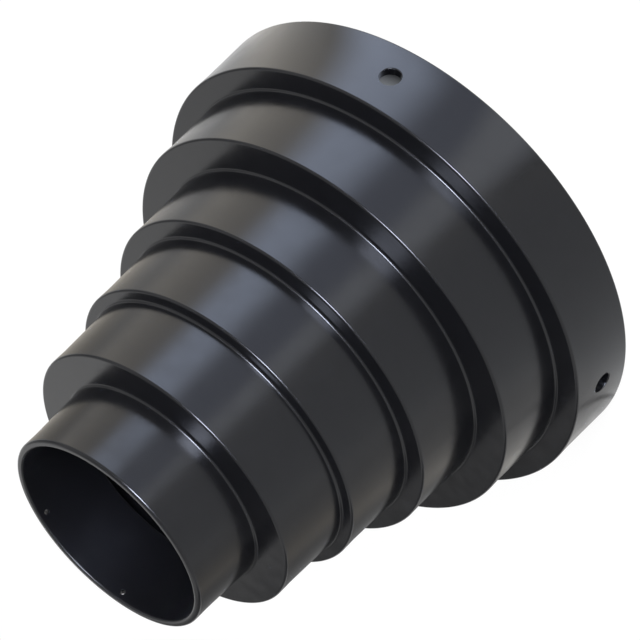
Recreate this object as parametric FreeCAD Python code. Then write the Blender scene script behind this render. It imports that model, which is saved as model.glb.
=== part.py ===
# Stepped duct reducer, moulded in one piece.
#
# Six round collars of falling diameter follow each other along one axis, joined by flat
# shoulders. The top of each collar is straight, and below that its outside widens slightly down
# to its foot. The wall is thin throughout, so the inside is stepped like the outside and the duct
# is open from end to end. The widest collar has four screw holes round it, and the narrowest has
# two small pilot holes close to its rim.
#
# The part stands on its wide open end. The origin is the centre of that end's rim plane, +Z runs
# along the duct towards the narrow mouth, and +X and +Y each pass through a screw hole.
import FreeCAD
import Part
import math
import os

# Outside diameters of the collars' straight tops, in millimetres, from the wide end up. The
# collars above the first slip inside round ducts whose nominal size is about 2 mm more.
collar_1_od = 166.0
collar_2_od = 148.0
collar_3_od = 123.0
collar_4_od = 108.0
collar_5_od = 98.0
collar_6_od = 73.0

# Every collar stands this much above the shoulder below it.
collar_length = 25.0

# The top of each collar is straight for this far. Below that its outside widens steadily, so that
# a duct pushed over it tightens, and at the collar's foot the radius is this much larger.
straight_top = 6.0
foot_widening = 0.8

# Thickness of the walls at the collars' straight tops, and of the flat shoulders between them.
collar_wall = 2.5
shoulder_wall = 2.0

# Every corner of the moulding is eased by a narrow flat at 45 degrees. Each value is how far the
# flat reaches along both sides of its corner: the shoulder's outer edge, its root against the
# next collar, the same two corners inside, and the edges of both open rims.
shoulder_edge_flat = 0.6
shoulder_root_flat = 0.9
inner_edge_flat = 0.8
inner_root_flat = 0.5
rim_flat = 0.4

# Screw holes through the widest collar, evenly spaced, the first on +X.
screw_hole_diameter = 7.0
screw_hole_count = 4
screw_hole_height = 12.0

# Pilot holes through the narrowest collar, the first at this angle from +X.
pilot_hole_diameter = 2.0
pilot_hole_count = 2
pilot_hole_drop = 3.0
first_pilot_angle = 30.0
pilot_hole_spacing = 60.0

collar_ods = [
    collar_1_od,
    collar_2_od,
    collar_3_od,
    collar_4_od,
    collar_5_od,
    collar_6_od,
]
duct_length = collar_length * len(collar_ods)

# A flat takes at most this share of the shorter straight run beside it.
largest_run_share = 0.45

axis_up = FreeCAD.Vector(0, 0, 1)
origin = FreeCAD.Vector(0, 0, 0)


def point(radius, height):
    """A point of the section, which lies in the XZ plane."""
    return FreeCAD.Vector(radius, 0, height)


def outer_corners():
    """Corners of the section's outside, from the wide rim up to the mouth, each with its flat."""
    corners = []
    last = len(collar_ods) - 1
    for index, diameter in enumerate(collar_ods):
        foot = index * collar_length
        top = foot + collar_length
        foot_flat = rim_flat if index == 0 else shoulder_root_flat
        top_flat = rim_flat if index == last else shoulder_edge_flat
        corners.append((point(diameter / 2 + foot_widening, foot), foot_flat))
        corners.append((point(diameter / 2, top - straight_top), 0.0))
        corners.append((point(diameter / 2, top), top_flat))
    return corners


def underside_height(index):
    """Height of the inner face of the shoulder that ends collar number index, counted from 0."""
    narrows = collar_ods[index + 1] <= collar_ods[index]
    thickness = shoulder_wall if narrows else -shoulder_wall
    return (index + 1) * collar_length - thickness


def inner_corners():
    """Corners of the section's inside, from the mouth down to the wide rim, each with its flat."""
    last = len(collar_ods) - 1
    corners = []
    for index in range(last, -1, -1):
        bore_radius = collar_ods[index] / 2 - collar_wall
        top = duct_length if index == last else underside_height(index)
        bottom = 0.0 if index == 0 else underside_height(index - 1)
        top_flat = rim_flat if index == last else inner_root_flat
        bottom_flat = rim_flat if index == 0 else inner_edge_flat
        corners.append((point(bore_radius, top), top_flat))
        corners.append((point(bore_radius, bottom), bottom_flat))
    return corners


def eased_outline(corners):
    """A closed outline through the corners, each cut off by its flat if it has one."""
    points = []
    for index, (corner, flat) in enumerate(corners):
        if flat == 0.0:
            points.append(corner)
            continue
        before = corners[index - 1][0]
        after = corners[(index + 1) % len(corners)][0]
        shorter_run = min(corner.distanceToPoint(before), corner.distanceToPoint(after))
        cut = min(flat, largest_run_share * shorter_run)
        points.append(corner + (before - corner).normalize() * cut)
        points.append(corner + (after - corner).normalize() * cut)
    return Part.makePolygon(points + points[:1])


def stepped_shell():
    """The whole thin-walled body, turned from its section, with no holes yet.

    The turned faces meet themselves halfway between two screw holes, where no hole cuts them.
    """
    section = Part.Face(eased_outline(outer_corners() + inner_corners()))
    section.rotate(origin, axis_up, 180.0 / screw_hole_count)
    return section.revolve(origin, axis_up, 360)


def radial_drill(diameter, angle, height, collar_od):
    """A drill along a radius, at an angle from +X, that passes through one side's wall.

    It starts a wall's thickness inside that wall and ends the same distance outside it.
    """
    outward = FreeCAD.Vector(math.cos(math.radians(angle)), math.sin(math.radians(angle)), 0)
    start = outward * (collar_od / 2 - 2 * collar_wall) + axis_up * height
    length = 3 * collar_wall
    return Part.makeCylinder(diameter / 2, length, start, outward)


def screw_hole_drills():
    """Drills for the screw holes round the widest collar."""
    spacing = 360.0 / screw_hole_count
    drills = []
    for index in range(screw_hole_count):
        angle = index * spacing
        drills.append(radial_drill(screw_hole_diameter, angle, screw_hole_height, collar_1_od))
    return drills


def pilot_hole_drills():
    """Drills for the pilot holes just below the narrow rim."""
    height = duct_length - pilot_hole_drop
    drills = []
    for index in range(pilot_hole_count):
        angle = first_pilot_angle + index * pilot_hole_spacing
        drills.append(radial_drill(pilot_hole_diameter, angle, height, collar_6_od))
    return drills


def stepped_reducer():
    """The finished part: the stepped shell with its holes drilled."""
    return stepped_shell().cut(screw_hole_drills() + pilot_hole_drills())


os.makedirs("parts", exist_ok=True)
reducer = stepped_reducer()
reducer.exportStep("parts/stepped_reducer.step")
print(f"stepped_reducer: {len(reducer.Solids)} solid, {reducer.Volume / 1000:.1f} cm3")
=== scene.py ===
"""A black moulded duct reducer on a pale floor.

The reducer is one thin-walled moulding: six round collars of falling diameter, joined by flat
shoulders and open from end to end. Each collar has a straight top and widens slightly down to its
foot. It stands on its wide end, with +Z along the duct.
All lengths are in metres and all angles are in degrees.
"""

import logging
import math
from dataclasses import dataclass, field, replace
from enum import Enum
from typing import Callable, Iterable

import bmesh
import bpy
from mathutils import Matrix, Vector

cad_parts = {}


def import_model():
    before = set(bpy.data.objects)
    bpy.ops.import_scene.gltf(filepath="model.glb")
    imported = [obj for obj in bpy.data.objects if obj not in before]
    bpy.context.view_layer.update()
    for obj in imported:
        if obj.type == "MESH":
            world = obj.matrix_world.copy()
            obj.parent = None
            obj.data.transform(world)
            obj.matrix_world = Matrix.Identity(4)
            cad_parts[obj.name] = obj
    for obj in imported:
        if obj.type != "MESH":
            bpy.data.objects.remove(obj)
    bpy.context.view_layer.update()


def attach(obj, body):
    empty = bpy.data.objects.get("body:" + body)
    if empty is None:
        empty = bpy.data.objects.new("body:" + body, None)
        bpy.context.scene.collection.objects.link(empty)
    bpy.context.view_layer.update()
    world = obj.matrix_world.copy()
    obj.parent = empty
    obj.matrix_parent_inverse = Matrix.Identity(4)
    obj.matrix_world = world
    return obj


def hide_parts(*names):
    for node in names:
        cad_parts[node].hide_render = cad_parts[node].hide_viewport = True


log = logging.getLogger("duct_reducer")

MM = 0.001
REDUCER_NODE = "stepped_reducer"
BODY = "root"

# Two places that are closer than this are one place.
SAME_PLACE = 0.02 * MM

# The way the photograph's camera looks, round the axis, where 0 looks along +Y.
CAMERA_HEADING = -28.05

# How high the lowest sheet on the floor is, and how much higher each one above it is.
LOWEST_SHEET = 0.10 * MM
SHEET_GAP = 0.05 * MM

# A sheet whose ends are both lower than this lies on the floor.
LYING_BELOW = 20.0 * MM

Colour = tuple[float, float, float]
Place = tuple[float, float, float]


# Working in edit mode


def select_only(piece: bpy.types.Object) -> None:
    """Makes a piece the only selected object and the active one.

    Args:
        piece: The object to be selected.
    """
    bpy.ops.object.select_all(action="DESELECT")
    piece.select_set(True)
    bpy.context.view_layer.objects.active = piece


def apply_modifier(piece: bpy.types.Object, kind: str, **settings: object) -> None:
    """Adds a modifier to a piece, sets it up and applies it.

    Args:
        piece: The object that the modifier works on.
        kind: Blender's name for the type of modifier.
        settings: The modifier's own settings, by name.
    """
    select_only(piece)
    modifier = piece.modifiers.new(kind.lower(), kind)
    for name, value in settings.items():
        setattr(modifier, name, value)
    bpy.ops.object.modifier_apply(modifier=modifier.name)


def select_edges(piece: bpy.types.Object, wanted: Callable[[Vector, Vector], bool]) -> None:
    """Selects, in edit mode, the edges whose two ends pass a test.

    Args:
        piece: The object in edit mode.
        wanted: Takes the places of an edge's two ends and says whether it is wanted.
    """
    bpy.ops.mesh.select_mode(type="EDGE")
    bpy.ops.mesh.select_all(action="DESELECT")
    mesh = bmesh.from_edit_mesh(piece.data)
    for edge in mesh.edges:
        if wanted(edge.verts[0].co, edge.verts[1].co):
            edge.select_set(True)
    mesh.select_flush_mode()
    bmesh.update_edit_mesh(piece.data)


# Working with nodes


def new_material(name: str) -> bpy.types.Material:
    """Makes a material that is made up of nodes.

    Args:
        name: The material's name.

    Returns:
        The material, with Blender's usual first nodes.
    """
    material = bpy.data.materials.new(name)
    material.use_nodes = True
    return material


def fill_inputs(tree: bpy.types.NodeTree, node: bpy.types.Node, inputs: dict[str | int, object]) -> None:
    """Gives each of a node's inputs its value or its link.

    Args:
        tree: The node's tree.
        node: The node.
        inputs: A value or another node's output for each input, by the input's name or place.
    """
    for key, value in inputs.items():
        if isinstance(value, bpy.types.NodeSocket):
            tree.links.new(value, node.inputs[key])
        else:
            node.inputs[key].default_value = value


def add_node(
    tree: bpy.types.NodeTree,
    kind: str,
    inputs: dict[str | int, object] | None = None,
    **settings: object,
) -> bpy.types.Node:
    """Adds a node, sets it up and fills its inputs.

    Args:
        tree: The tree that the node is added to.
        kind: Blender's name for the type of node.
        inputs: What goes into it, as in fill_inputs.
        settings: The node's own settings, by name.

    Returns:
        The node.
    """
    node = tree.nodes.new(kind)
    for name, value in settings.items():
        setattr(node, name, value)
    fill_inputs(tree, node, inputs or {})
    return node


def soft_step(
    tree: bpy.types.NodeTree, value: bpy.types.NodeSocket, low: float, high: float
) -> bpy.types.NodeSocket:
    """Adds a soft step.

    Args:
        tree: The tree that it is added to.
        value: What it depends on.
        low: The value up to which it gives 0.
        high: The value from which it gives 1.

    Returns:
        The step's output.
    """
    inputs = {"Value": value, "From Min": low, "From Max": high}
    step = add_node(tree, "ShaderNodeMapRange", inputs, interpolation_type="SMOOTHSTEP")
    return step.outputs["Result"]


def seen_or_mirrored(tree: bpy.types.NodeTree) -> bpy.types.NodeSocket:
    """Adds nodes that give 1 where the camera sees or mirrors a surface, and 0 to other light.

    Args:
        tree: The nodes of a material or of the world.

    Returns:
        The output with that value.
    """
    path = add_node(tree, "ShaderNodeLightPath").outputs
    seen = path["Is Camera Ray"]
    for ray in ("Is Glossy Ray", "Is Transmission Ray"):
        either = add_node(tree, "ShaderNodeMath", {0: seen, 1: path[ray]}, operation="MAXIMUM")
        seen = either.outputs["Value"]
    return seen


# Finishes


@dataclass(frozen=True)
class BlackPlastic:
    """Satin black polypropylene as it comes out of the mould.

    Attributes:
        name: The material's name.
        dark: The colour of most of the surface.
        pale: The colour where the skin is slightly dull.
        ior: Refractive index, which sets how strong the reflections are.
        roughness: The lowest and the highest roughness of the outside.
        inside_roughness: The same inside the duct, where the mould's core leaves a duller skin.
        inside_depth: How far from the axis a face's plane lies where the face looks towards the
            axis and counts as fully inside.
        height_share: How much height counts as distance from the axis in that, so that the
            shoulders' undersides are inside too and their tops aren't.
        flow_size: The size of the broad unevenness that the flow of the melt leaves.
        flow_depth: How deep that unevenness is.
        grain_size: The size of the fine grain of the mould's steel.
        grain_depth: How deep that grain is.
        patch_size: The size of the patches that are more or less dull.
        patch_span: The values of their pattern at which the skin is least and most dull.
    """

    name: str = "black_plastic_moulded"
    dark: Colour = (0.0042, 0.0044, 0.0057)
    pale: Colour = (0.0060, 0.0062, 0.0077)
    ior: float = 1.38
    roughness: tuple[float, float] = (0.17, 0.24)
    inside_roughness: tuple[float, float] = (0.31, 0.37)
    inside_depth: float = 2.0 * MM
    height_share: float = 0.1
    flow_size: float = 14.0 * MM
    flow_depth: float = 0.02 * MM
    grain_size: float = 0.45 * MM
    grain_depth: float = 0.0025 * MM
    patch_size: float = 5.6 * MM
    patch_span: tuple[float, float] = (0.3, 0.7)

    def inside(self, tree: bpy.types.NodeTree) -> bpy.types.NodeSocket:
        """Adds nodes that give 1 inside the duct and 0 outside.

        Args:
            tree: The material's nodes.

        Returns:
            The output with that value.
        """
        coordinates = add_node(tree, "ShaderNodeTexCoord").outputs
        stretch = (1.0, 1.0, self.height_share)
        from_axis = add_node(
            tree, "ShaderNodeVectorMath", {0: coordinates["Object"], 1: stretch}, operation="MULTIPLY"
        )
        outward = {0: from_axis.outputs["Vector"], 1: coordinates["Normal"]}
        facing = add_node(tree, "ShaderNodeVectorMath", outward, operation="DOT_PRODUCT")
        share = {"Value": facing.outputs["Value"], "From Min": 0.0, "From Max": -self.inside_depth}
        return add_node(tree, "ShaderNodeMapRange", share).outputs["Result"]

    def dullness(self, tree: bpy.types.NodeTree, patches: bpy.types.NodeSocket) -> bpy.types.NodeSocket:
        """Adds the nodes for the roughness.

        Args:
            tree: The material's nodes.
            patches: The pattern of the patches.

        Returns:
            The output with the roughness.
        """
        skins = []
        for lowest, highest in (self.roughness, self.inside_roughness):
            skin = add_node(
                tree,
                "ShaderNodeMapRange",
                {
                    "Value": patches,
                    "From Min": self.patch_span[0],
                    "From Max": self.patch_span[1],
                    "To Min": lowest,
                    "To Max": highest,
                },
            )
            skins.append(skin.outputs["Result"])
        both = {"Factor": self.inside(tree), "A": skins[0], "B": skins[1]}
        return add_node(tree, "ShaderNodeMix", both).outputs["Result"]

    def build(self) -> bpy.types.Material:
        """Makes the material, with its patterns on Object coordinates.

        Returns:
            The material.
        """
        material = new_material(self.name)
        tree = material.node_tree
        place = add_node(tree, "ShaderNodeTexCoord").outputs["Object"]

        def noise(size: float, detail: float) -> bpy.types.NodeSocket:
            """Adds a noise pattern whose features are of one size, and gives its output."""
            inputs = {"Vector": place, "Scale": 1 / size, "Detail": detail}
            return add_node(tree, "ShaderNodeTexNoise", inputs).outputs["Fac"]

        patches = noise(self.patch_size, detail=4.0)
        colours = {"Factor": patches, "A": (*self.dark, 1.0), "B": (*self.pale, 1.0)}
        tint = add_node(tree, "ShaderNodeMix", colours, data_type="RGBA")
        flow = add_node(
            tree,
            "ShaderNodeBump",
            {
                "Height": noise(self.flow_size, detail=1.0),
                "Strength": 1.0,
                "Distance": self.flow_depth,
            },
        )
        grain = add_node(
            tree,
            "ShaderNodeBump",
            {
                "Height": noise(self.grain_size, detail=2.0),
                "Strength": 1.0,
                "Distance": self.grain_depth,
                "Normal": flow.outputs["Normal"],
            },
        )
        surface = {
            "Base Color": tint.outputs["Result"],
            "Roughness": self.dullness(tree, patches),
            "IOR": self.ior,
            "Normal": grain.outputs["Normal"],
        }
        fill_inputs(tree, tree.nodes["Principled BSDF"], surface)
        return material


@dataclass(frozen=True)
class PaleFloor:
    """A matt white table top that shows as plain white and still takes a faint shadow, with a painted
    shadow and a painted pool of light under the reducer.

    Attributes:
        name: The material's name.
        shade: The colour that light from the floor has as it reaches other things.
        shown_shade: The part of the white that lamps give where the floor is seen or mirrored.
        shown_glow: The part of the white that is there whatever the light.
        painted_shade_and_pool: A painted shadow under the reducer, where little light comes, with a
            painted pool of light in it: distances from the axis, each with its glow. The floor beyond the
            last of them is in the open.
        painted_shade_and_pool_tint: The colour of that painted shadow and pool of light.
        edge_width: The width of the strip in which the one turns into the other.
        ramp_reach: The distance from the axis that is the far end of the ramp between them.
    """

    name: str = "pale_floor"
    shade: Colour = (0.80, 0.80, 0.80)
    shown_shade: Colour = (0.12, 0.12, 0.12)
    shown_glow: float = 0.90
    # Under the reducer the floor glows less, as a painted shadow, with a painted pool of light from 53 to
    # 60 mm from the axis.
    painted_shade_and_pool: tuple[tuple[float, float], ...] = (
        (44.0 * MM, 0.09),
        (53.0 * MM, 0.27),
        (60.0 * MM, 0.27),
        (69.5 * MM, 0.02),
        (80.5 * MM, 0.02),
    )
    painted_shade_and_pool_tint: Colour = (0.93, 0.99, 1.08)
    edge_width: float = 1.5 * MM
    ramp_reach: float = 100.0 * MM

    def glow(self, tree: bpy.types.NodeTree) -> bpy.types.NodeSocket:
        """Adds the ramp of the floor's glow, from the axis outwards, with the painted shadow and pool of
        light under the reducer.

        Args:
            tree: The material's nodes.

        Returns:
            The output with the glow's colour.
        """
        place = add_node(tree, "ShaderNodeTexCoord").outputs["Object"]
        distance = add_node(tree, "ShaderNodeVectorMath", {0: place}, operation="LENGTH").outputs["Value"]
        share = add_node(tree, "ShaderNodeMath", {0: distance, 1: self.ramp_reach}, operation="DIVIDE")
        ramp = add_node(tree, "ShaderNodeValToRGB", {"Fac": share.outputs["Value"]})
        stops = [(reach, [level * part for part in self.painted_shade_and_pool_tint]) for reach, level in self.painted_shade_and_pool]
        stops.append((self.painted_shade_and_pool[-1][0] + self.edge_width, [self.shown_glow] * 3))
        while len(ramp.color_ramp.elements) < len(stops):
            ramp.color_ramp.elements.new(1.0)
        for stop, (reach, colour) in zip(ramp.color_ramp.elements, stops):
            stop.position = reach / self.ramp_reach
            stop.color = (*colour, 1.0)
        return ramp.outputs["Color"]

    def build(self) -> bpy.types.Material:
        """Makes the material.

        Returns:
            The material.
        """
        material = new_material(self.name)
        tree = material.node_tree
        tree.nodes.remove(tree.nodes["Principled BSDF"])
        matt = add_node(tree, "ShaderNodeBsdfDiffuse", {"Color": (*self.shade, 1.0)})
        shown = add_node(tree, "ShaderNodeBsdfDiffuse", {"Color": (*self.shown_shade, 1.0)})
        glow = add_node(tree, "ShaderNodeEmission", {"Color": self.glow(tree)})
        both = add_node(tree, "ShaderNodeAddShader", {0: shown.outputs[0], 1: glow.outputs[0]})
        either = {"Fac": seen_or_mirrored(tree), 1: matt.outputs[0], 2: both.outputs[0]}
        pick = add_node(tree, "ShaderNodeMixShader", either)
        fill_inputs(tree, tree.nodes["Material Output"], {"Surface": pick.outputs[0]})
        return material


# The reducer


class Corner(Enum):
    """The kinds of corner in the moulding's section. Each value is the radius of its round."""

    RIM = 0.5 * MM
    MOUTH = 1.0 * MM
    MOUTH_INSIDE = 0.7 * MM
    SHOULDER_EDGE = 0.8 * MM
    SHOULDER_ROOT = 0.9 * MM
    INNER_EDGE = 1.2 * MM
    INNER_ROOT = 0.6 * MM


@dataclass(frozen=True)
class Ring:
    """A corner of the section, turned to a ring round the axis.

    Attributes:
        radius: The ring's radius.
        height: How far it stands above the wide rim.
        corner: Which kind of corner it is, or None where two stretches meet with no round.
    """

    radius: float
    height: float
    corner: Corner | None

    def holds(self, place: Vector) -> bool:
        """Says whether a place lies on this ring."""
        off = abs(math.hypot(place.x, place.y) - self.radius) + abs(place.z - self.height)
        return off < SAME_PLACE


@dataclass(frozen=True)
class HoleRow:
    """Round holes of one size, drilled along radii through a collar's wall.

    Attributes:
        diameter: The holes' diameter.
        height: How far their centres stand above the wide rim.
        angles: Where they are round the axis, from +X.
        collar: The collar's place in the row, counted from 0 at the wide end.
        edge_round: The radius of their rims' rounds.
        edge_segments: How many strips stand for a rim's round.
        sides: How many sides stand for each circle.
    """

    diameter: float
    height: float
    angles: tuple[float, ...]
    collar: int
    edge_round: float
    edge_segments: int
    sides: int


@dataclass(frozen=True)
class SteppedReducer:
    """The moulded body, turned from its section and drilled.

    Attributes:
        diameters: Outside diameters of the collars' straight tops, from the wide end up.
        collar_length: How far every collar stands above the shoulder below it.
        straight_top: How far a collar is straight below its upper edge.
        foot_widening: How much larger a collar's outside radius is at its foot.
        wall: Thickness of the collars' walls.
        shoulder_wall: Thickness of the shoulders.
        divisions: How many sides stand for a full turn.
        round_segments: How many strips stand for a corner's round.
        smooth_angle: Faces that meet at less than this are shaded as one surface.
        hole_rows: The holes round the widest and the narrowest collar.
        finish: What the body is made of.
    """

    diameters: tuple[float, ...] = (
        166.0 * MM,
        148.0 * MM,
        123.0 * MM,
        108.0 * MM,
        98.0 * MM,
        73.0 * MM,
    )
    collar_length: float = 25.0 * MM
    straight_top: float = 6.0 * MM
    foot_widening: float = 0.8 * MM
    wall: float = 2.5 * MM
    shoulder_wall: float = 2.0 * MM
    divisions: int = 320
    round_segments: int = 5
    smooth_angle: float = 50.0
    hole_rows: tuple[HoleRow, ...] = (
        HoleRow(
            diameter=7.0 * MM,
            height=12.0 * MM,
            angles=(0.0, 90.0, 180.0, 270.0),
            collar=0,
            edge_round=0.30 * MM,
            edge_segments=4,
            sides=64,
        ),
        HoleRow(
            diameter=1.74 * MM,
            height=147.0 * MM,
            angles=(30.0, 90.0),
            collar=5,
            edge_round=0.12 * MM,
            edge_segments=2,
            sides=32,
        ),
    )
    finish: BlackPlastic = field(default_factory=BlackPlastic)

    @property
    def height(self) -> float:
        """The whole reducer's height."""
        return self.collar_length * len(self.diameters)

    def rings(self) -> list[Ring]:
        """Lists the section's corners.

        Returns:
            A ring for each corner, from the wide rim up the outside and back down the inside.
        """
        last = len(self.diameters) - 1
        outside: list[Ring] = []
        inside: list[Ring] = []
        for index, diameter in enumerate(self.diameters):
            bottom = index * self.collar_length
            top = bottom + self.collar_length
            foot = diameter / 2 + self.foot_widening
            outside.append(Ring(foot, bottom, Corner.SHOULDER_ROOT if index else Corner.RIM))
            outside.append(Ring(diameter / 2, top - self.straight_top, None))
            outside.append(Ring(diameter / 2, top, Corner.SHOULDER_EDGE if index < last else Corner.MOUTH))
            bore = diameter / 2 - self.wall
            floor = bottom - self.shoulder_wall if index else 0.0
            ceiling = top - self.shoulder_wall if index < last else top
            inside.append(Ring(bore, floor, Corner.INNER_EDGE if index else Corner.RIM))
            inside.append(Ring(bore, ceiling, Corner.INNER_ROOT if index < last else Corner.MOUTH_INSIDE))
        return outside + inside[::-1]

    def outside_radius(self, collar: int, height: float) -> float:
        """Gives a collar's outside radius at a height, with the corners' rounds left out.

        Args:
            collar: The collar's place in the row, counted from 0 at the wide end.
            height: How far above the wide rim.

        Returns:
            The radius.
        """
        below = (collar + 1) * self.collar_length - self.straight_top - height
        share = max(0.0, below / (self.collar_length - self.straight_top))
        return self.diameters[collar] / 2 + self.foot_widening * share

    def turn_section(self) -> bpy.types.Object:
        """Turns the section into a closed shell with sharp corners, ring by ring.

        Returns:
            The shell, left in edit mode.
        """
        rings = self.rings()
        bpy.ops.object.select_all(action="DESELECT")
        bpy.ops.mesh.primitive_circle_add(vertices=self.divisions, radius=rings[0].radius)
        shell = bpy.context.active_object
        shell.name = shell.data.name = "reducer_shell"
        bpy.ops.object.mode_set(mode="EDIT")
        for before, after in zip(rings, rings[1:]):
            rise = after.height - before.height
            bpy.ops.mesh.extrude_edges_move(TRANSFORM_OT_translate={"value": (0.0, 0.0, rise)})
            spread = after.radius / before.radius
            centre = (0.0, 0.0, after.height)
            bpy.ops.transform.resize(value=(spread, spread, 1.0), center_override=centre)
        bpy.ops.mesh.select_all(action="DESELECT")
        bpy.ops.mesh.select_non_manifold()
        bpy.ops.mesh.bridge_edge_loops()
        bpy.ops.mesh.select_all(action="SELECT")
        bpy.ops.mesh.normals_make_consistent(inside=False)
        return shell

    def round_corners(self, shell: bpy.types.Object) -> None:
        """Rounds every ring of the shell by the radius of its kind.

        Args:
            shell: The shell in edit mode, which this leaves.
        """
        for corner in Corner:
            rings = [ring for ring in self.rings() if ring.corner is corner]
            select_edges(shell, lambda a, b: any(ring.holds(a) and ring.holds(b) for ring in rings))
            bpy.ops.mesh.bevel(
                offset_type="OFFSET",
                offset=corner.value,
                segments=self.round_segments,
                profile=0.5,
                affect="EDGES",
                clamp_overlap=False,
            )
        bpy.ops.object.mode_set(mode="OBJECT")

    def drill_bit(self, row: HoleRow) -> bpy.types.Object:
        """Makes a drill along +Z that cuts one hole and rounds its rims on both faces of the wall.

        Args:
            row: The row that the hole belongs to.

        Returns:
            The drill. Its origin is on the duct's axis, so that it only has to be turned.
        """
        radius, edge = row.diameter / 2, row.edge_round
        outside = self.outside_radius(row.collar, row.height)
        bore = self.diameters[row.collar] / 2 - self.wall
        turns = [math.radians(90 * step / row.edge_segments) for step in range(row.edge_segments + 1)]
        rounds = [(edge * (1 - math.sin(turn)), radius + edge * (1 - math.cos(turn))) for turn in turns]
        outline = [(bore - self.wall, radius + edge)]
        outline += [(bore + depth, reach) for depth, reach in reversed(rounds)]
        outline += [(outside - depth, reach) for depth, reach in rounds]
        outline += [(outside + self.wall, radius + edge)]
        bpy.ops.object.select_all(action="DESELECT")
        bpy.ops.mesh.primitive_circle_add(
            vertices=row.sides,
            radius=outline[0][1],
            fill_type="NGON",
            location=(0.0, 0.0, 0.0),
        )
        drill_bit = bpy.context.active_object
        bpy.ops.object.mode_set(mode="EDIT")
        bpy.ops.mesh.select_all(action="SELECT")
        bpy.ops.transform.translate(value=(0.0, 0.0, outline[0][0]))
        for before, after in zip(outline, outline[1:]):
            rise = after[0] - before[0]
            bpy.ops.mesh.extrude_region_move(TRANSFORM_OT_translate={"value": (0.0, 0.0, rise)})
            spread = after[1] / before[1]
            centre = (0.0, 0.0, after[0])
            bpy.ops.transform.resize(value=(spread, spread, 1.0), center_override=centre)
        bpy.ops.mesh.select_all(action="SELECT")
        bpy.ops.mesh.normals_make_consistent(inside=False)
        bpy.ops.object.mode_set(mode="OBJECT")
        return drill_bit

    def drill(self, shell: bpy.types.Object, row: HoleRow) -> None:
        """Drills one row of holes.

        Args:
            shell: The body to be drilled.
            row: The holes.
        """
        for angle in row.angles:
            drill_bit = self.drill_bit(row)
            drill_bit.location.z = row.height
            drill_bit.rotation_euler = (0.0, math.radians(90), math.radians(angle))
            apply_modifier(shell, "BOOLEAN", operation="DIFFERENCE", solver="EXACT", object=drill_bit)
            bpy.data.objects.remove(drill_bit)

    def smooth(self, shell: bpy.types.Object) -> None:
        """Shades the shell smooth, with the flat and straight faces ruling over the rounds.

        Args:
            shell: The drilled body.
        """
        select_only(shell)
        bpy.ops.object.shade_smooth_by_angle(angle=math.radians(self.smooth_angle))
        apply_modifier(shell, "WEIGHTED_NORMAL", mode="FACE_AREA", weight=100, keep_sharp=True)

    def dress(self, shell: bpy.types.Object) -> None:
        """Gives the body its finish and its place in the frame.

        Args:
            shell: The body.
        """
        shell.data.materials.clear()
        shell.data.materials.append(self.finish.build())
        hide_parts(REDUCER_NODE)
        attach(shell, BODY)

    def build(self) -> bpy.types.Object:
        """Builds the whole body.

        Returns:
            The finished mesh object, at the origin.
        """
        shell = self.turn_section()
        self.round_corners(shell)
        for row in self.hole_rows:
            self.drill(shell, row)
        self.smooth(shell)
        self.dress(shell)
        return shell


# The studio


def around(azimuth: float, distance: float, height: float = 0.0) -> Place:
    """Gives a place by its angle round the axis from the side that faces the camera.

    Args:
        azimuth: Degrees from the camera's side, with positive values to the photograph's upper left.
        distance: How far it is from the axis.
        height: How high it is above the floor.

    Returns:
        The place.
    """
    angle = math.radians(azimuth - 90.0 + CAMERA_HEADING)
    return (distance * math.cos(angle), distance * math.sin(angle), height)


@dataclass(frozen=True)
class SoftBox:
    """A flat rectangular lamp that isn't seen or mirrored itself.

    Attributes:
        name: The lamp's name.
        position: Where its centre is.
        aim: The place that it faces.
        size: Its width and height.
        radiance: How bright its face is, where 1 is as bright as a white wall in full light.
        tint: The colour of its light.
    """

    name: str
    position: Place
    aim: Place
    size: tuple[float, float]
    radiance: float
    tint: Colour = (1.0, 1.0, 1.0)

    def build(self) -> bpy.types.Object:
        """Places the lamp.

        Returns:
            The lamp's object.
        """
        bpy.ops.object.light_add(type="AREA")
        lamp = bpy.context.active_object
        lamp.name = lamp.data.name = self.name
        back = (Vector(self.position) - Vector(self.aim)).normalized()
        across = Vector((-back.y, back.x, 0.0)).normalized()
        turn = Matrix((across, back.cross(across), back)).transposed().to_4x4()
        lamp.matrix_world = Matrix.Translation(self.position) @ turn
        lamp.data.shape = "RECTANGLE"
        lamp.data.size, lamp.data.size_y = self.size
        lamp.data.color = self.tint
        lamp.data.energy = self.radiance * math.pi * self.size[0] * self.size[1]
        lamp.visible_camera = lamp.visible_glossy = False
        return lamp


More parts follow.
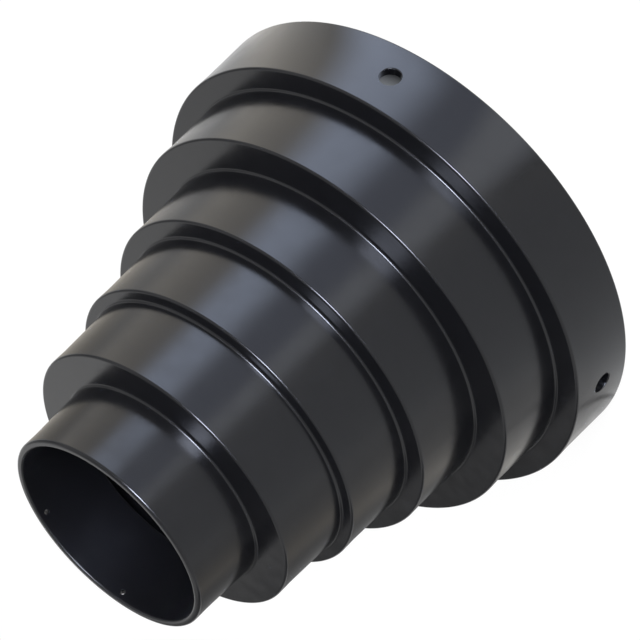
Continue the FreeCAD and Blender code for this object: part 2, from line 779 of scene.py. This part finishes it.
@dataclass(frozen=True)
class SoftSheet:
    """A sheet with soft edges that shows only in the reducer's gloss.

    It lies on the floor, stands and faces the reducer, or hangs over it. A sheet brighter than the
    floor stands for a window, a lamp or a lit wall, and a darker one for an unlit part of the room or,
    as a painted shadow, for the reducer's shadow on the table beside it.

    Attributes:
        name: The sheet's name.
        start: The middle of its near or lower edge.
        end: The middle of its far or upper edge.
        widths: The lengths of those two edges.
        radiance: How bright it is, where the floor is 1.
        tint: The colour of its light.
        side_fade: How much of each half of its width the soft edge takes.
        end_fade: How much of each half of its length the soft edge takes.
        shown_from: For a sheet that lies down, the slopes between which it shows: 0 stands for a
            glance from straight above and 1 for one along the floor. It is hidden below the first
            and above the last, and shows fully between the middle two, so that it lights the
            collars from the photograph's height and leaves them plain from above and from the side.
        cuts: How often each side is cut, so that the soft edges run evenly on a tapering sheet.
    """

    name: str
    start: Place
    end: Place
    widths: tuple[float, float]
    radiance: float
    tint: Colour = (1.0, 1.0, 1.0)
    side_fade: float = 0.8
    end_fade: float = 0.1
    shown_from: tuple[float, float, float, float] = (0.20, 0.38, 0.65, 0.76)
    cuts: int = 15

    def at_height(self, height: float) -> "SoftSheet":
        """Gives the same sheet, lying at another height."""
        return replace(self, start=(*self.start[:2], height), end=(*self.end[:2], height))

    def lies(self) -> bool:
        """Tells whether the sheet lies on the floor, and doesn't stand or hang."""
        return max(self.start[2], self.end[2]) <= LYING_BELOW

    def shown_share(self, tree: bpy.types.NodeTree) -> bpy.types.NodeSocket:
        """Adds the nodes that say how much of the sheet shows at a place and from a direction.

        Args:
            tree: The material's nodes.

        Returns:
            The output with that share.
        """
        uv = add_node(tree, "ShaderNodeUVMap").outputs["UV"]
        place = add_node(tree, "ShaderNodeSeparateXYZ", {0: uv}).outputs
        shares = []
        for index, fade in enumerate((self.side_fade, self.end_fade)):
            inward = add_node(tree, "ShaderNodeMath", {0: place[index], 1: 0.5}, operation="PINGPONG")
            shares.append(soft_step(tree, inward.outputs["Value"], 0.0, fade / 2))
        if self.lies():
            slope = add_node(tree, "ShaderNodeLayerWeight").outputs["Facing"]
            first, full_from, full_to, last = self.shown_from
            shares.append(soft_step(tree, slope, first, full_from))
            shares.append(soft_step(tree, slope, last, full_to))
        share = shares[0]
        for other in shares[1:]:
            both = add_node(tree, "ShaderNodeMath", {0: share, 1: other}, operation="MULTIPLY")
            share = both.outputs["Value"]
        return share

    def light(self) -> bpy.types.Material:
        """Makes the sheet's material, which fades out towards every edge.

        Returns:
            The material.
        """
        material = new_material(f"{self.name}_light")
        tree = material.node_tree
        tree.nodes.remove(tree.nodes["Principled BSDF"])
        clear = add_node(tree, "ShaderNodeBsdfTransparent")
        glow = add_node(
            tree, "ShaderNodeEmission", {"Color": (*self.tint, 1.0), "Strength": self.radiance}
        )
        either = {"Fac": self.shown_share(tree), 1: clear.outputs[0], 2: glow.outputs[0]}
        pick = add_node(tree, "ShaderNodeMixShader", either)
        fill_inputs(tree, tree.nodes["Material Output"], {"Surface": pick.outputs[0]})
        material.cycles.emission_sampling = "NONE"
        return material

    def build(self) -> bpy.types.Object:
        """Puts up the sheet.

        Returns:
            The sheet's object.
        """
        start, end = Vector(self.start), Vector(self.end)
        along = end - start
        to_axis, up = Vector((-start.x, -start.y, 0.0)), Vector((0.0, 0.0, 1.0))
        front = to_axis if along.z > along.xy.length else up
        across = along.cross(front).normalized()
        bpy.ops.object.select_all(action="DESELECT")
        bpy.ops.mesh.primitive_plane_add(size=1.0)
        sheet = bpy.context.active_object
        sheet.name = sheet.data.name = self.name
        bpy.ops.object.mode_set(mode="EDIT")
        for side, width in zip((-0.5, 0.5), self.widths):
            select_edges(sheet, lambda a, b: abs(a.y - side) + abs(b.y - side) < SAME_PLACE)
            bpy.ops.transform.resize(value=(width, 1.0, 1.0), center_override=(0.0, side, 0.0))
        bpy.ops.mesh.select_all(action="SELECT")
        bpy.ops.mesh.subdivide(number_cuts=self.cuts)
        bpy.ops.object.mode_set(mode="OBJECT")
        turn = Matrix((across, along, across.cross(along).normalized())).transposed().to_4x4()
        sheet.matrix_world = Matrix.Translation((start + end) / 2) @ turn
        bpy.ops.object.transform_apply()
        sheet.data.materials.append(self.light())
        sheet.visible_camera = sheet.visible_diffuse = sheet.visible_shadow = False
        return sheet


@dataclass(frozen=True)
class PhotoCamera:
    """The camera of the photograph.

    Attributes:
        position: Where it stands.
        heading: The way it looks, round the axis, where 0 looks along +Y.
        fall: How far it looks below the horizon.
        roll: How far it is turned about its line of sight.
        lens: Focal length in millimetres.
        sensor_width: Width of the sensor in millimetres.
    """

    position: Place = (-0.335254, -0.632801, 0.440022)
    heading: float = CAMERA_HEADING
    fall: float = 28.778
    roll: float = -134.224
    lens: float = 144.64
    sensor_width: float = 36.0

    def build(self) -> bpy.types.Object:
        """Places the camera and makes it the scene's own.

        Returns:
            The camera's object.
        """
        bpy.ops.object.camera_add()
        camera = bpy.context.active_object
        camera.name = camera.data.name = "photo_camera"
        camera.matrix_world = (
            Matrix.Translation(self.position)
            @ Matrix.Rotation(math.radians(self.heading), 4, "Z")
            @ Matrix.Rotation(math.radians(90 - self.fall), 4, "X")
            @ Matrix.Rotation(math.radians(self.roll), 4, "Z")
        )
        camera.data.lens = self.lens
        camera.data.sensor_width = self.sensor_width
        bpy.context.scene.camera = camera
        return camera


@dataclass(frozen=True)
class Studio:
    """The floor, the surroundings, the sheets and the lamps.

    Attributes:
        floor_size: The side of the square floor.
        floor_finish: The floor's material.
        sky_light: How much light comes from the surroundings, where 1 is as much as from white ones.
        lamps: The lamps.
        sheets: What the reducer's gloss mirrors besides the floor and the surroundings.
    """

    floor_size: float = 16.0
    floor_finish: PaleFloor = field(default_factory=PaleFloor)
    sky_light: float = 0.65
    lamps: tuple[SoftBox, ...] = ()
    sheets: tuple[SoftSheet, ...] = ()

    def lay_floor(self) -> bpy.types.Object:
        """Lays the floor that the reducer stands on.

        Returns:
            The floor's object.
        """
        bpy.ops.object.select_all(action="DESELECT")
        bpy.ops.mesh.primitive_plane_add(size=self.floor_size)
        floor = bpy.context.active_object
        floor.name = floor.data.name = "floor"
        floor.data.materials.append(self.floor_finish.build())
        return floor

    def light_surroundings(self) -> bpy.types.World:
        """Makes the world white where it is seen or mirrored, and a plain soft light elsewhere.

        Returns:
            The world.
        """
        world = bpy.data.worlds.new("surroundings")
        bpy.context.scene.world = world
        world.use_nodes = True
        tree = world.node_tree
        level = {"Value": seen_or_mirrored(tree), "To Min": self.sky_light}
        strength = add_node(tree, "ShaderNodeMapRange", level).outputs["Result"]
        fill_inputs(tree, tree.nodes["Background"], {"Color": (1.0, 1.0, 1.0, 1.0), "Strength": strength})
        return world

    def build(self) -> list[bpy.types.Object]:
        """Builds the floor, the surroundings, the sheets and the lamps.

        Returns:
            The floor's object, and the sheets' and the lamps'.
        """
        floor = self.lay_floor()
        self.light_surroundings()
        sheets = [sheet.build() for sheet in self.sheets]
        lamps = [lamp.build() for lamp in self.lamps]
        return [floor, *sheets, *lamps]


def plan_lamps() -> tuple[SoftBox, ...]:
    """Plans the soft boxes round the reducer.

    Returns:
        The lamps.
    """
    middle = (0.0, 0.0, SteppedReducer().height / 2)
    return (
        SoftBox(
            name="key",
            position=around(8, 1.05, 0.655),
            aim=middle,
            size=(0.50, 0.40),
            radiance=18.0,
            tint=(0.97, 0.99, 1.03),
        ),
        SoftBox(
            name="overhead",
            position=around(20, 0.5, 1.7),
            aim=middle,
            size=(1.6, 1.6),
            radiance=0.8,
        ),
    )


def plan_sheets() -> tuple[SoftSheet, ...]:
    """Plans the lit and unlit parts of the room that the collars mirror, and the painted shadow beside the
    reducer.

    Returns:
        The sheets: first those on the floor, from the lowest up, and then those that stand or hang.
    """
    blue: Colour = (0.84, 0.95, 1.20)
    pale_blue: Colour = (0.90, 0.97, 1.18)
    cool: Colour = (0.95, 0.99, 1.07)
    faint_cool: Colour = (0.98, 1.0, 1.03)
    warm: Colour = (1.08, 1.01, 0.90)
    faint_warm: Colour = (1.065, 1.01, 0.92)

    on_floor = (
        # Painted shadow: a sheet darker than the floor that stands for the reducer's shadow on the table
        # beside it, mirrored in the collars.
        SoftSheet(
            name="shaded_table",
            start=around(-92, 0.060),
            end=around(-97, 0.600),
            widths=(0.084, 0.62),
            radiance=0.76,
            side_fade=0.7,
        ),
        SoftSheet(
            name="table_side",
            start=around(-41, 0.060),
            end=around(-41, 0.600),
            widths=(0.090, 0.90),
            radiance=0.95,
            tint=faint_cool,
            side_fade=0.5,
        ),
        # Painted shadow: a thin dark line that stands for the reducer's contact shadow on the table,
        # mirrored in the collars.
        SoftSheet(
            name="contact_shadow_line",
            start=around(-73, 0.078),
            end=around(-96, 0.185),
            widths=(0.004, 0.008),
            radiance=0.20,
            end_fade=0.3,
        ),
        SoftSheet(
            name="lit_wall",
            start=around(43, 0.060),
            end=around(72, 0.500),
            widths=(0.036, 0.92),
            radiance=1.98,
            tint=faint_warm,
            side_fade=0.6,
            end_fade=0.32,
        ),
        SoftSheet(
            name="dim_room",
            start=around(188, -0.010),
            end=around(188, 0.560),
            widths=(1.1, 1.1),
            radiance=0.66,
            tint=warm,
            side_fade=0.2,
            end_fade=0.54,
        ),
        SoftSheet(
            name="dark_room",
            start=around(-148, 0.060),
            end=around(-142, 0.640),
            widths=(0.070, 0.86),
            radiance=0.28,
            side_fade=0.6,
        ),
        SoftSheet(
            name="pale_path",
            start=around(15, 0.060),
            end=around(15, 0.500),
            widths=(0.055, 0.34),
            radiance=1.66,
            tint=pale_blue,
            side_fade=0.5,
        ),
        SoftSheet(
            name="window",
            start=around(23.5, 0.064),
            end=around(48.9, 0.450),
            widths=(0.034, 0.37),
            radiance=5.4,
            tint=blue,
            end_fade=0.15,
        ),
        SoftSheet(
            name="strip",
            start=around(3, 0.064),
            end=around(0.4, 0.450),
            widths=(0.021, 0.155),
            radiance=2.85,
            tint=cool,
        ),
    )
    off_floor = (
        SoftSheet(
            name="dark_corner",
            start=around(-143, 1.5, 0.1),
            end=around(-143, 1.5, 1.2),
            widths=(2.2, 2.2),
            radiance=0.22,
            side_fade=0.14,
        ),
        SoftSheet(
            name="dim_wall",
            start=around(130, 1.5, 0.1),
            end=around(130, 1.5, 1.2),
            widths=(1.7, 1.7),
            radiance=0.50,
            side_fade=0.3,
        ),
        SoftSheet(
            name="ceiling",
            start=around(180, 2.2, 2.42),
            end=around(0, 2.2, 2.42),
            widths=(4.4, 4.4),
            radiance=0.65,
            side_fade=0.3,
        ),
        SoftSheet(
            name="soft_box",
            start=around(5.5, 1.04, 0.35),
            end=around(5.5, 1.04, 0.95),
            widths=(0.56, 0.56),
            radiance=53.0,
            tint=pale_blue,
            side_fade=0.65,
        ),
    )
    stacked = [sheet.at_height(LOWEST_SHEET + SHEET_GAP * layer) for layer, sheet in enumerate(on_floor)]
    return (*stacked, *off_floor)


def main() -> None:
    """Loads the frame, builds every piece and reports each."""
    logging.basicConfig(level=logging.INFO, format="%(message)s")
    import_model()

    bpy.context.scene.view_settings.view_transform = "Standard"
    camera = PhotoCamera().build()
    log.info("camera: %s", camera.name)

    reducer = SteppedReducer().build()
    log.info("reducer: %d faces", len(reducer.data.polygons))

    for part in Studio(lamps=plan_lamps(), sheets=plan_sheets()).build():
        log.info("studio: %s", part.name)


if __name__ == "__main__":
    main()
